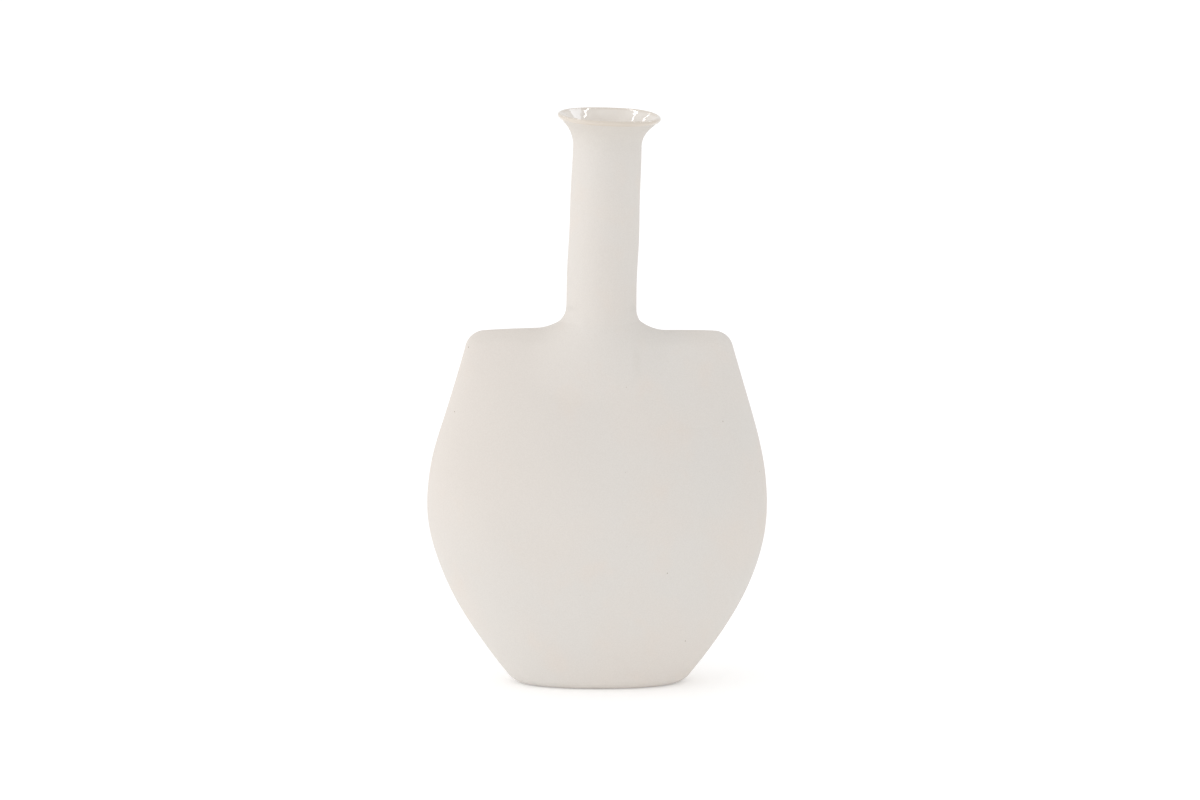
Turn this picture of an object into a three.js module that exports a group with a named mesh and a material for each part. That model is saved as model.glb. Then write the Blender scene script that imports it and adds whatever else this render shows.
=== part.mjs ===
// Ceramic bud vase: a flattened flask body with wide shoulders, a leaning tubular neck and a flared lip.
// Millimetres, +Z up. The front faces -Y and the origin is under the middle of the foot.
//
// The clay is put together from five pieces: a front and a back wall luted edge to edge, a foot slab
// plugged in below them, a neck tube seated in the collar above them, and a lip ring seated in the neck.
// A gloss glaze coats the bore and folds over the lip.

import * as THREE from 'three';

// Overall sizes
const HEIGHT = 240;
const BELLY_WIDTH = 141.4;
const BELLY_DEPTH = 69;
const BELLY_Z = 76;
const BASE_WIDTH = 70.4;
const BASE_DEPTH = 36;
const SHOULDER_Z = 148.4;
const SHOULDER_WIDTH = 107.4;
const SHOULDER_DEPTH = 13;
const NECK_WIDTH = 29.1;
const LIP_WIDTH = 41.6;

// Shape of the body
const SIDE_FULLNESS_LOW = 0.155;
const SIDE_FULLNESS_HIGH = 0.87;
const SECTION_POWER = 2.2;
const BASE_ROUND = 3.2;
const SHOULDER_FLAT = 0.9;
const LEFT_SHOULDER_RISE = 1.3;
const BODY_SWAY = 0.8;

// Neck and lip
const NECK_LEAN = 0.039;
const NECK_ROOT_X = 1.25;
const NECK_TAPER = 0.35;
const NECK_FILLET = 9;
const SWELL_START = 4;
const SWELL_DEPTH = 32;
const SWELL_SPREAD = 0.6;
const FLARE_HEIGHT = 12.5;
const FLARE_BEND = 1.5;
const LIP_EDGE = 1;
const THROAT_DROP = 0.85;
const LIP_TILT = 0.051;
const LIP_OFFSET = 0.5;

// Clay, joints and glaze
const WALL = 3.6;
const FOOT_THICKNESS = 6;
const PLUG_HEIGHT = 4;
const SPIGOT_LENGTH = 5;
const LIP_SPIGOT_LENGTH = 3.5;
const LUTE_GAP = 0.3;
const GLAZE_GAP = 0.3;
const GLAZE_THICKNESS = 0.3;

// Fineness of the facets
const HALF_COLUMNS = 20;
const COLUMNS = 2 * HALF_COLUMNS;
const SIDE_ROWS = 18;
const CORNER_ROWS = 4;
const LEDGE_ROWS = 6;
const FILLET_ROWS = 5;
const NECK_ROWS = 3;
const FLARE_ROWS = 4;
const SLANT_ROWS = 2;
const THROAT_ROWS = 6;
const EDGE_ROWS = 4;

// The shoulder's edge is rounded nearly all the way over
const SHOULDER_ROUND = SHOULDER_DEPTH / 2 - SHOULDER_FLAT;

// The lip flares along an arc and then straight on, to the middle of its rounded edge. A bend of 1 would
// be straight all the way and a bend of 2 one arc. How far out it reaches, and the arc's turn and radius
const FLARE_REACH = LIP_WIDTH / 2 - ( NECK_WIDTH / 2 - NECK_TAPER );
const FLARE_TURN = FLARE_BEND * Math.atan( FLARE_REACH / FLARE_HEIGHT );
const FLARE_SWEEP = ( FLARE_HEIGHT * Math.tan( FLARE_TURN ) - FLARE_REACH ) /
	( 1 / Math.cos( FLARE_TURN ) - 1 );

// Heights worked out from the sizes above
const COLLAR_Z = SHOULDER_Z + LEFT_SHOULDER_RISE + NECK_FILLET + LUTE_GAP + SPIGOT_LENGTH;
const LIP_RISE = FLARE_HEIGHT + LIP_EDGE / 2 + LIP_TILT * ( LIP_WIDTH - LIP_EDGE ) / 2;
const LIP_BASE_Z = HEIGHT - GLAZE_GAP - GLAZE_THICKNESS - LIP_RISE;
const PLUG_Z = FOOT_THICKNESS + PLUG_HEIGHT;
const GLAZE_END_Z = SHOULDER_Z + LEFT_SHOULDER_RISE + NECK_FILLET / 2;

const { clamp, lerp, smoothstep } = THREE.MathUtils;

// Evenly spaced values from one to another, both ends included.
function spaced( from, to, count ) {

	return Array.from( { length: count + 1 }, ( _, i ) => lerp( from, to, i / count ) );

}

// ---- The outer surface of the clay, as a signed distance that is negative inside ----

// Half width or half depth of the body at a height: fullest at the belly, easing to the base and shoulder.
function easedHalf( z, belly, base, shoulder ) {

	const above = z > BELLY_Z;
	const t = above ? ( z - BELLY_Z ) / ( SHOULDER_Z - BELLY_Z ) : ( BELLY_Z - z ) / BELLY_Z;
	const fullness = above ? SIDE_FULLNESS_HIGH : SIDE_FULLNESS_LOW;
	const ease = ( 1 + fullness ) * t * t / ( 1 + fullness * t * t );
	return lerp( belly, above ? shoulder : base, ease ) / 2;

}

const halfWidth = ( z ) => easedHalf( z, BELLY_WIDTH, BASE_WIDTH, SHOULDER_WIDTH );
const halfDepth = ( z ) => easedHalf( z, BELLY_DEPTH, BASE_DEPTH, SHOULDER_DEPTH );

// The body sways a little towards +X above and below the belly.
const bodyX = ( z ) => BODY_SWAY * smoothstep( Math.abs( z - BELLY_Z ), 0, BELLY_WIDTH / 3 );

// Distance to the body's sides, whose level sections are superellipses.
function sideDistance( fromX, y, z ) {

	const step = 0.01;
	const x = fromX - bodyX( z );
	const w = halfWidth( z );
	const d = halfDepth( z );
	const wSlope = ( halfWidth( z + step ) - w ) / step;
	const dSlope = ( halfDepth( z + step ) - d ) / step;
	const a = Math.pow( Math.abs( x ) / w, SECTION_POWER - 1 );
	const b = Math.pow( Math.abs( y ) / d, SECTION_POWER - 1 );
	const sum = a * Math.abs( x ) / w + b * Math.abs( y ) / d;
	const radius = Math.pow( sum, 1 / SECTION_POWER );
	const slopeZ = a * Math.abs( x ) * wSlope / ( w * w ) + b * Math.abs( y ) * dSlope / ( d * d );
	const slope = Math.hypot( a / w, b / d, slopeZ ) * radius / sum;
	return ( radius - 1 ) / slope;

}

// The left shoulder climbs a little, from its corner to the neck.
function shoulderHeight( x ) {

	const climb = clamp( ( x + SHOULDER_WIDTH / 2 ) / ( SHOULDER_WIDTH - NECK_WIDTH ) * 2, 0, 1 );
	return SHOULDER_Z + LEFT_SHOULDER_RISE * climb * smoothstep( - x, - NECK_WIDTH / 2, NECK_WIDTH / 2 );

}

// The neck's middle leans towards +X, and the lip sits a little further over.
function neckX( z ) {

	const kick = smoothstep( z, LIP_BASE_Z, LIP_BASE_Z + FLARE_HEIGHT );
	return NECK_ROOT_X + NECK_LEAN * ( z - SHOULDER_Z ) + LIP_OFFSET * kick;

}

// The neck narrows slightly towards the lip. Inside the body it thins out, so that its swell fades away.
function neckRadius( z ) {

	const taper = NECK_TAPER * smoothstep( z, COLLAR_Z, LIP_BASE_Z );
	const buried = smoothstep( SHOULDER_Z - z, SWELL_DEPTH / 2, 2 * SWELL_DEPTH );
	return NECK_WIDTH / 2 * ( 1 - 2 * buried ) - taper;

}

// Below the shoulder the neck spreads sideways and melts into the front and back of the body.
function neckDistance( x, y, z ) {

	const down = clamp( ( SHOULDER_Z + SWELL_START - z ) / SWELL_DEPTH, 0, 1 );
	const spread = 1 + SWELL_SPREAD * down * ( 2 - down );
	return Math.hypot( ( x - neckX( z ) ) / spread, y ) - neckRadius( z );

}

// The overlap of two solids, with its edge rounded over.
function roundedBoth( a, b, radius ) {

	const corner = Math.hypot( Math.max( radius + a, 0 ), Math.max( radius + b, 0 ) );
	return Math.min( - radius, Math.max( a, b ) ) + corner;

}

// Two solids joined, with a fillet where they meet.
function roundedEither( a, b, radius ) {

	const corner = Math.hypot( Math.max( radius - a, 0 ), Math.max( radius - b, 0 ) );
	return Math.max( radius, Math.min( a, b ) ) - corner;

}

function clay( x, y, z ) {

	const topped = roundedBoth( sideDistance( x, y, z ), z - shoulderHeight( x ), SHOULDER_ROUND );
	const body = roundedBoth( topped, - z, BASE_ROUND );
	return roundedEither( body, neckDistance( x, y, z ), NECK_FILLET );

}

// Moves a point down the slope of a distance until it lies at a level. With lift 0 it keeps its height.
function settle( distance, point, level, lift ) {

	const step = 0.005;
	const { x, y, z } = point;
	const slope = new THREE.Vector3(
		distance( x + step, y, z ) - distance( x - step, y, z ),
		distance( x, y + step, z ) - distance( x, y - step, z ),
		distance( x, y, z + step ) - distance( x, y, z - step ),
	).divideScalar( 2 * step );
	const along = new THREE.Vector3( slope.x, slope.y, slope.z * lift );
	const excess = distance( x, y, z ) - level;
	return point.clone().addScaledVector( along, - excess / slope.dot( along ) );

}

// Gets there in short steps, so that the point never jumps across the seam plane, then settles exactly.
function settled( distance, start, level, lift ) {

	const rounds = 16;
	const from = distance( start.x, start.y, start.z );
	let point = start;
	for ( let i = 1; i <= rounds; i ++ ) {

		const target = lerp( from, level, Math.min( 1, 2 * i / rounds ) );
		point = settle( distance, point, target, lift );

	}

	return point;

}

// ---- Rows of points that run round the vase, anticlockwise from +X ----

// Across is 1 at +X and -1 at -X; forward is 0 exactly on the seam plane.
const columns = Array.from( { length: COLUMNS }, ( _, j ) => {

	const angle = Math.PI * j / HALF_COLUMNS;
	return { across: Math.cos( angle ), forward: j % HALF_COLUMNS === 0 ? 0 : Math.sin( angle ) };

} );

// A level row of the body's side distance, at a level inside it.
function sideRow( z, level ) {

	return columns.map( ( { across, forward } ) => {

		const start = new THREE.Vector3( halfWidth( z ) * across, halfDepth( z ) * forward, z );
		return settled( sideDistance, start, level, 0 );

	} );

}

// A round row of the neck or the lip. Tilt slopes it down towards +X.
function neckRow( radius, z, tilt = 0 ) {

	return columns.map( ( { across, forward } ) => new THREE.Vector3(
		neckX( z ) + radius * across,
		radius * forward,
		z - tilt * radius * across,
	) );

}

// Where each row of the wall runs: how far it reaches at the sides, and its height there and in the middle.
function wallPlan() {

	const cornerZ = SHOULDER_Z - SHOULDER_ROUND;
	const sides = spaced( FOOT_THICKNESS, cornerZ, SIDE_ROWS );
	const plan = sides.map( ( z ) => ( { reach: halfWidth( z ), side: z, middle: z } ) );

	const corner = new THREE.EllipseCurve( halfWidth( SHOULDER_Z ) - SHOULDER_ROUND, cornerZ,
		SHOULDER_ROUND, SHOULDER_ROUND, 0, Math.PI / 2 );
	const filletX = NECK_WIDTH / 2 + NECK_FILLET;
	const fillet = new THREE.EllipseCurve( filletX, SHOULDER_Z + NECK_FILLET,
		NECK_FILLET, NECK_FILLET, - Math.PI / 2, - Math.PI, true );
	const ledge = new THREE.LineCurve( corner.getPoint( 1 ), fillet.getPoint( 0 ) );
	const edge = [
		...corner.getPoints( CORNER_ROWS ).slice( 1 ),
		...ledge.getPoints( LEDGE_ROWS ).slice( 1 ),
		...fillet.getPoints( FILLET_ROWS ).slice( 1 ),
	];
	edge.forEach( ( point, i ) => {

		const middle = lerp( cornerZ, COLLAR_Z - SPIGOT_LENGTH - LUTE_GAP, ( i + 1 ) / edge.length );
		plan.push( { reach: point.x, side: point.y, middle } );

	} );
	return plan;

}

// Rows of the wall's outer and inner skins.
function wallSkins() {

	const outside = [];
	const inside = [];
	for ( const { reach, side, middle } of wallPlan() ) {

		const lift = smoothstep( side, BELLY_Z, SHOULDER_Z - SHOULDER_ROUND );
		const centre = neckX( middle ) * smoothstep( middle, SHOULDER_Z - SHOULDER_ROUND, SHOULDER_Z );
		const outer = columns.map( ( { across, forward } ) => {

			const z = lerp( side, middle, forward * forward );
			const y = Math.max( halfDepth( z ), NECK_WIDTH / 2 * forward * forward ) * forward;
			return settled( clay, new THREE.Vector3( centre + reach * across, y, z ), 0, lift );

		} );
		outside.push( outer );
		inside.push( outer.map( ( point ) => settled( clay, point, - WALL, lift ) ) );

	}

	return { outside, inside };

}

// ---- Closed solids from rows ----

function solid( rows, faces ) {

	const geometry = new THREE.BufferGeometry().setFromPoints( rows.flat() );
	geometry.setIndex( faces );
	geometry.computeVertexNormals();
	return geometry;

}

// Faces between neighbouring rows. The last row joins the first one when the rows make a loop.
// Every four-sided face is split from its lower left to its upper right, whichever way the rows run,
// so that skins on either side of a gap have facets that lie parallel.
function bands( rows, ringClosed, rowsLoop ) {

	const count = rows[ 0 ].length;
	const across = ringClosed ? count : count - 1;
	const up = rowsLoop ? rows.length : rows.length - 1;
	const faces = [];
	for ( let i = 0; i < up; i ++ ) {

		const follower = ( i + 1 ) % rows.length;
		const here = i * count;
		const there = follower * count;
		const falls = rows[ follower ][ 0 ].z < rows[ i ][ 0 ].z;
		for ( let j = 0; j < across; j ++ ) {

			const next = ( j + 1 ) % count;
			const thirdCorner = falls ? there + j : there + next;
			const firstCorner = falls ? here + next : here + j;
			faces.push( here + j, here + next, thirdCorner, firstCorner, there + next, there + j );

		}

	}

	return faces;

}

// A tube: rings up the outside, over the top and down the inside.
function tubeSolid( rows ) {

	return solid( rows, bands( rows, true, true ) );

}

// A full body: rings from a point under its middle to a point over its middle.
function cappedSolid( rows, bottom, top ) {

	const count = rows[ 0 ].length;
	const first = rows.length * count;
	const last = ( rows.length - 1 ) * count;
	const faces = bands( rows, true, false );
	for ( let j = 0; j < count; j ++ ) {

		const next = ( j + 1 ) % count;
		faces.push( first, next, j );
		faces.push( first + 1, last + j, last + next );

	}

	return solid( [ ...rows, [ bottom, top ] ], faces );

}

// Half a tube: open rows up the outside and down the inside, with flat faces at the two seams.
function halfTubeSolid( rows ) {

	const count = rows[ 0 ].length;
	const faces = bands( rows, false, true );
	for ( let i = 0; i < rows.length / 2 - 1; i ++ ) {

		const outer = i * count;
		const inner = ( rows.length - 1 - i ) * count;
		const outerNext = outer + count;
		const innerNext = inner - count;
		const end = count - 1;
		faces.push( outer, outerNext, inner, outerNext, innerNext, inner );
		faces.push( outer + end, inner + end, outerNext + end, outerNext + end, inner + end, innerNext + end );

	}

	return solid( rows, faces );

}

function named( name, geometry, material ) {

	const mesh = new THREE.Mesh( geometry, material );
	mesh.name = name;
	return mesh;

}

// ---- Materials ----

const bisque = ( color ) => new THREE.MeshStandardMaterial( { color, roughness: 0.85, metalness: 0 } );
const glossGlaze = ( color ) => new THREE.MeshStandardMaterial( { color, roughness: 0.12, metalness: 0 } );

// ---- The pieces ----

// The collar that the two walls form is counterbored, to take the neck's spigot.
function wallLoop() {

	const { outside, inside } = wallSkins();
	const seatZ = COLLAR_Z - SPIGOT_LENGTH - LUTE_GAP;
	const collarOuter = neckRow( neckRadius( COLLAR_Z ), COLLAR_Z );
	const seatOuter = neckRow( neckRadius( seatZ ), seatZ + LUTE_GAP );
	const bore = neckRadius( COLLAR_Z ) - WALL / 2 + LUTE_GAP / 2;
	return [
		...outside, seatOuter, collarOuter,
		neckRow( bore, COLLAR_Z ), neckRow( bore, seatZ ), ...inside.reverse(),
	];

}

function wallHalf( firstColumn ) {

	const half = ( row ) => [ ...row, row[ 0 ] ].slice( firstColumn, firstColumn + HALF_COLUMNS + 1 );
	return halfTubeSolid( wallLoop().map( half ) );

}

function footSlab() {

	const rows = [];
	const roundRows = 3;
	for ( let i = 0; i <= roundRows; i ++ ) {

		const turn = Math.PI / 2 * i / roundRows;
		rows.push( sideRow( BASE_ROUND * ( 1 - Math.cos( turn ) ), BASE_ROUND * ( Math.sin( turn ) - 1 ) ) );

	}

	rows.push( sideRow( FOOT_THICKNESS, 0 ) );
	rows.push( sideRow( FOOT_THICKNESS, - WALL - LUTE_GAP ) );
	rows.push( sideRow( PLUG_Z, - WALL - LUTE_GAP ) );
	return cappedSolid( rows, new THREE.Vector3( 0, 0, 0 ), new THREE.Vector3( 0, 0, PLUG_Z ) );

}

function neckTube() {

	const heights = spaced( COLLAR_Z, LIP_BASE_Z, NECK_ROWS );
	const outside = heights.map( ( z ) => neckRow( neckRadius( z ), z ) );
	const lipSeatZ = LIP_BASE_Z - LIP_SPIGOT_LENGTH - LUTE_GAP;
	const lipBore = neckRadius( LIP_BASE_Z ) - WALL / 2 + LUTE_GAP / 2;
	const spigotZ = COLLAR_Z - SPIGOT_LENGTH;
	const spigot = neckRadius( COLLAR_Z ) - WALL / 2 - LUTE_GAP / 2;
	const inside = heights.slice( 1, - 1 ).reverse().map( ( z ) => neckRow( neckRadius( z ) - WALL, z ) );
	return tubeSolid( [
		...outside,
		neckRow( lipBore, LIP_BASE_Z ),
		neckRow( lipBore, lipSeatZ ),
		neckRow( neckRadius( lipSeatZ ) - WALL, lipSeatZ ),
		...inside,
		neckRow( neckRadius( spigotZ ) - WALL, spigotZ ),
		neckRow( spigot, spigotZ ),
		neckRow( spigot, COLLAR_Z ),
	] );

}

// The lip's profile, as radius and height: out along the flare, round the edge and back down the inside.
function lipProfile() {

	const root = neckRadius( LIP_BASE_Z );
	const half = LIP_EDGE / 2;
	const sweep = FLARE_SWEEP - half;
	const flare = new THREE.EllipseCurve( root + sweep, LIP_BASE_Z, sweep, sweep,
		Math.PI, Math.PI - FLARE_TURN, true );
	const edge = new THREE.EllipseCurve( LIP_WIDTH / 2 - half, LIP_BASE_Z + FLARE_HEIGHT, half, half,
		- FLARE_TURN, Math.PI - FLARE_TURN );
	const slant = new THREE.LineCurve( flare.getPoint( 1 ), edge.getPoint( 0 ) );
	const brim = edge.getPoint( 1 );
	const bore = root - WALL;
	const drop = Math.min( ( brim.x - bore ) / Math.tan( FLARE_TURN ), THROAT_DROP * FLARE_HEIGHT );
	const corner = new THREE.Vector2( bore, brim.y - drop );
	const throat = new THREE.QuadraticBezierCurve( brim, corner, new THREE.Vector2( bore, LIP_BASE_Z ) );
	return { flare, slant, edge, throat };

}

// Rows along one curve of the lip's profile, pushed off it by a distance. The tilt grows up the flare.
function lipRows( curve, count, offset ) {

	return Array.from( { length: count + 1 }, ( _, i ) => {

		const point = curve.getPoint( i / count );
		const tangent = curve.getTangent( i / count );
		const radius = point.x + offset * tangent.y;
		const z = point.y - offset * tangent.x;
		const tilt = LIP_TILT * smoothstep( point.y, LIP_BASE_Z, LIP_BASE_Z + FLARE_HEIGHT );
		return neckRow( radius, z, tilt );

	} );

}

function lipRing() {

	const { flare, slant, edge, throat } = lipProfile();
	const spigotZ = LIP_BASE_Z - LIP_SPIGOT_LENGTH;
	const spigot = neckRadius( LIP_BASE_Z ) - WALL / 2 - LUTE_GAP / 2;
	return tubeSolid( [
		...lipRows( flare, FLARE_ROWS, 0 ),
		...lipRows( slant, SLANT_ROWS, 0 ).slice( 1 ),
		...lipRows( edge, EDGE_ROWS, 0 ).slice( 1 ),
		...lipRows( throat, THROAT_ROWS, 0 ).slice( 1 ),
		neckRow( neckRadius( spigotZ ) - WALL, spigotZ ),
		neckRow( spigot, spigotZ ),
		neckRow( spigot, LIP_BASE_Z ),
	] );

}

// The glaze runs from the neck's root up the bore, out along the lip and halfway round its edge.
function glazeLiner() {

	const { edge, throat } = lipProfile();
	const heights = [ GLAZE_END_Z, ...spaced( COLLAR_Z, LIP_BASE_Z, NECK_ROWS ).slice( 0, - 1 ) ];
	const [ under, over ] = [ GLAZE_GAP, GLAZE_GAP + GLAZE_THICKNESS ].map( ( offset ) => [
		...heights.map( ( z ) => neckRow( neckRadius( z ) - WALL - offset, z ) ),
		...lipRows( throat, THROAT_ROWS, offset ).reverse(),
		...lipRows( edge, EDGE_ROWS, offset ).slice( EDGE_ROWS / 2, - 1 ).reverse(),
	] );
	return tubeSolid( [ ...under, ...over.reverse() ] );

}

const vase = new THREE.Group();
vase.add( named( 'front_wall', wallHalf( HALF_COLUMNS ), bisque( 0xdfdad4 ) ) );
vase.add( named( 'back_wall', wallHalf( 0 ), bisque( 0xdfdad4 ) ) );
vase.add( named( 'foot', footSlab(), bisque( 0xd8d3cc ) ) );
vase.add( named( 'neck', neckTube(), bisque( 0xdfdad4 ) ) );
vase.add( named( 'lip', lipRing(), bisque( 0xe2ddd6 ) ) );
vase.add( named( 'glaze_liner', glazeLiner(), glossGlaze( 0xdfd8ce ) ) );

export default vase;
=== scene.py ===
"""Ceramic bud vase: a flask body with square shoulders, a leaning neck and a flared, glazed lip.

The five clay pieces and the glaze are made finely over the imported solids, from the same sizes and joints.
Everything is in metres, +Z up, the front facing -Y, with the origin under the middle of the foot.
"""

import math

import bpy
import numpy as np
from bpy.props import FloatProperty, FloatVectorProperty, IntProperty, PointerProperty
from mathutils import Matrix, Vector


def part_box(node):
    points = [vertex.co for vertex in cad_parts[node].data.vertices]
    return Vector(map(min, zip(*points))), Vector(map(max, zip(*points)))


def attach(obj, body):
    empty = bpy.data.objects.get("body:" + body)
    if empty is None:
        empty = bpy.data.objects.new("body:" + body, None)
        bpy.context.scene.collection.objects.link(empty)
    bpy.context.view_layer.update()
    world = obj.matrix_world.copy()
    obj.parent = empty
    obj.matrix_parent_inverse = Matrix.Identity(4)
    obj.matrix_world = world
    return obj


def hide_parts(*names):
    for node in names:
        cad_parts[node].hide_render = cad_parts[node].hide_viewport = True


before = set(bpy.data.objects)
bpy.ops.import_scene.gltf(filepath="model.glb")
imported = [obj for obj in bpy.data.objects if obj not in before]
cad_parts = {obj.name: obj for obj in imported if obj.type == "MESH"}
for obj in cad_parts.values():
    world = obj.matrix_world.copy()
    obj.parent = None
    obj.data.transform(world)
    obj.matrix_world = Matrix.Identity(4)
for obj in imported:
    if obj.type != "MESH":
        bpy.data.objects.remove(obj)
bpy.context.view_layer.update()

bl_info = {
    "name": "Ceramic Bud Vase",
    "version": (1, 0, 0),
    "blender": (4, 5, 0),
    "location": "3D Viewport > Sidebar > Bud Vase",
    "description": "Builds a hand-made bud vase of bisque clay with a gloss glaze in its mouth",
    "category": "Object",
}

MM = 0.001
BODY = "root"

# Heights where the pieces meet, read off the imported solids
FOOT_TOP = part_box("front_wall")[0].z
COLLAR_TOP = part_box("front_wall")[1].z
PLUG_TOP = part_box("foot")[1].z
SPIGOT_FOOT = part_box("neck")[0].z
LIP_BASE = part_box("neck")[1].z
LIP_SPIGOT_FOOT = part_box("lip")[0].z
GLAZE_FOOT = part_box("glaze_liner")[0].z

# Fineness of the meshes. The two walls meet on the first and the middle column.
COLUMNS = 240
SIDE_ROWS = 110
CORNER_ROWS = 14
LEDGE_ROWS = 26
FILLET_ROWS = 16
COLLAR_ROWS = 5
FOOT_ROWS = 14
RISE_ROWS = 4
DISC_ROWS = 8
NECK_ROWS = 50
FLARE_ROWS = 20
SLANT_ROWS = 12
ROLLED_ROWS = 3
THROAT_ROWS = 26
EDGE_ROWS = 18
SHARP_ANGLE = math.radians(35)

# Marks on the front of the clay, as distance from the middle, height and radius in millimetres
IRON_MARKS = [
    (-59.3, 116.0, 0.30),
    (-33.0, 4.6, 0.34),
    (-53.5, 142.0, 0.24),
    (29.0, 52.2, 0.22),
    (36.5, 21.3, 0.26),
    (51.8, 113.0, 0.22),
    (12.0, 127.6, 0.18),
]

# The studio. The lights that only show in the glaze have a place, a size, a power and a tint.
AIR_STRENGTH = 0.94
FLOOR_GLOW = 0.16
MOUTH = (0.005, 0.0, 0.235)
GLOSS_LIGHTS = [
    ("right_strip", (0.88, 0.23, 1.73), (0.08, 0.9), 2.6, "#ffffff"),
    ("left_strip", (-0.88, 0.34, 1.73), (0.08, 0.9), 2.6, "#ffffff"),
    ("right_window", (0.95, 0.8, 1.24), (0.6, 0.6), 3.2, "#e6f0ff"),
    ("left_window", (-0.88, 1.02, 1.12), (0.08, 0.35), 0.6, "#ffffff"),
]
CAMERA_PLACE = (0.00124, -2.8, 0.643)
CAMERA_AIM = (0.00124, 0.0, 0.11921)


# ---- settings


def linear(hex_colour):
    """An sRGB colour such as "#dfdad4" as the three linear values that Blender works in."""
    shares = [int(hex_colour[i : i + 2], 16) / 255 for i in (1, 3, 5)]
    return tuple(s / 12.92 if s <= 0.04045 else ((s + 0.055) / 1.055) ** 2.4 for s in shares)


def length(name, millimetres, description):
    return FloatProperty(name=name, description=description, default=millimetres * MM,
                         precision=5, unit="LENGTH", subtype="DISTANCE")


def share(name, value, description):
    return FloatProperty(name=name, description=description, default=value, precision=3, subtype="FACTOR")


def colour(name, hex_colour, description):
    return FloatVectorProperty(name=name, description=description, default=linear(hex_colour),
                               size=3, min=0.0, max=1.0, subtype="COLOR")


class VaseBodySizes(bpy.types.PropertyGroup):
    belly_width: length("Belly width", 141.4, "Widest part of the body, from side to side")
    belly_depth: length("Belly depth", 69.0, "Thickest part of the body, from front to back")
    belly_height: length("Belly height", 76.0, "Height of the widest part above the table")
    base_width: length("Base width", 70.4, "Width of the body at the table")
    base_depth: length("Base depth", 36.0, "Depth of the body at the table")
    base_round: length("Base round", 3.2, "Radius of the edge that meets the table")
    shoulder_height: length("Shoulder height", 148.4, "Height of the right shoulder")
    shoulder_width: length("Shoulder width", 107.4, "Width of the body at the shoulders")
    shoulder_depth: length("Shoulder depth", 13.0, "Depth of the body at the shoulders")
    shoulder_flat: length("Shoulder flat", 0.9, "Flat left on each side of the rounded shoulder edge")
    left_rise: length("Left rise", 1.3, "How far the left shoulder climbs towards the neck")
    sway: length("Sway", 0.8, "How far the body drifts to the right above and below the belly")
    fullness_below: share("Fullness below", 0.155, "How full the sides are below the belly")
    fullness_above: share("Fullness above", 0.87, "How full the sides are above the belly")
    squareness: FloatProperty(
        name="Squareness", description="Power of the level sections; 2 is an ellipse", default=2.2)
    wall: length("Wall", 3.6, "Thickness of the clay")
    joint_gap: length("Joint gap", 0.3, "Gap that slip fills where one piece seats in another")


class VaseNeckSizes(bpy.types.PropertyGroup):
    width: length("Neck width", 29.1, "Outside width of the neck")
    taper: length("Taper", 0.35, "How much the neck's radius shrinks towards the lip")
    lean: share("Lean", 0.039, "How far the neck leans to the right, as a share of its height")
    root_x: length("Root offset", 1.25, "How far right of the middle the neck starts")
    fillet: length("Fillet", 9.0, "Radius where the neck melts into the shoulders")
    swell_start: length("Swell start", 4.0, "Height above the shoulder where the neck starts to spread")
    swell_depth: length("Swell depth", 32.0, "How far down the body the spread neck shows")
    swell_spread: share("Swell spread", 0.6, "How much wider the neck gets as it sinks into the body")
    lip_width: length("Lip width", 41.6, "Width of the clay lip")
    lip_edge: length("Lip edge", 1.0, "Thickness of the lip at its rounded edge")
    lip_tilt: share("Lip tilt", 0.051, "How far the lip slopes down to the right")
    lip_offset: length("Lip offset", 0.5, "How far the lip sits to the right of the neck's line")
    flare_height: length("Flare height", 12.5, "Height over which the neck opens into the lip")
    flare_bend: share("Flare bend", 1.5, "1 is a straight flare, and 2 is one arc up to the edge")
    throat_drop: share("Throat drop", 0.85, "How far down the flare the throat's curve turns")
    glaze: length("Glaze", 0.6, "Thickness of the glaze in the throat")
    glaze_thinnest: length("Thinnest glaze", 0.4, "Thickness of the glaze on the edge of the lip")


class VaseHandwork(bpy.types.PropertyGroup):
    wave_height: length("Wave height", 0.16, "How far the clay strays from its drawn shape")
    shortest_wave: length("Shortest wave", 20.0, "Shortest of the waves left by hand smoothing")
    longest_wave: length("Longest wave", 52.0, "Longest of the waves left by hand smoothing")
    seed: IntProperty(name="Seed", description="Picks the waves and the stray specks", default=11)
    speck_count: IntProperty(name="Stray specks", description="Iron specks strewn over the walls", default=26)
    speck_smallest: length("Smallest speck", 0.08, "Radius of the smallest stray speck")
    speck_largest: length("Largest speck", 0.2, "Radius of the largest stray speck")


class VaseFinish(bpy.types.PropertyGroup):
    clay_light: colour("Clay, light", "#dbd7d2", "Bisque clay where it is palest")
    clay_warm: colour("Clay, warm", "#dfd5cc", "Bisque clay where the kiln warmed it")
    # Bare foot clay; also mixed in as painted shade under the lip and in the crease right of the neck
    clay_dry_and_shade: colour("Clay, dry", "#c9c2b8", "Bare clay under the foot")
    glaze_body: colour("Glaze", "#e9e3dc", "Gloss glaze where it lies thick")
    glaze_edge: colour("Glaze edge", "#d6ccc0", "Gloss glaze where it runs thin over the clay")
    iron: colour("Iron", "#8c7d6e", "Iron specks burnt through the clay")
    floor: colour("Floor", "#fbfbfb", "The studio floor")


SETTINGS = {
    "vase_body": VaseBodySizes,
    "vase_neck": VaseNeckSizes,
    "vase_handwork": VaseHandwork,
    "vase_finish": VaseFinish,
}


# ---- shape of the clay


def smoothstep(value, low, high):
    t = np.clip((value - low) / (high - low), 0.0, 1.0)
    return t * t * (3.0 - 2.0 * t)


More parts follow.
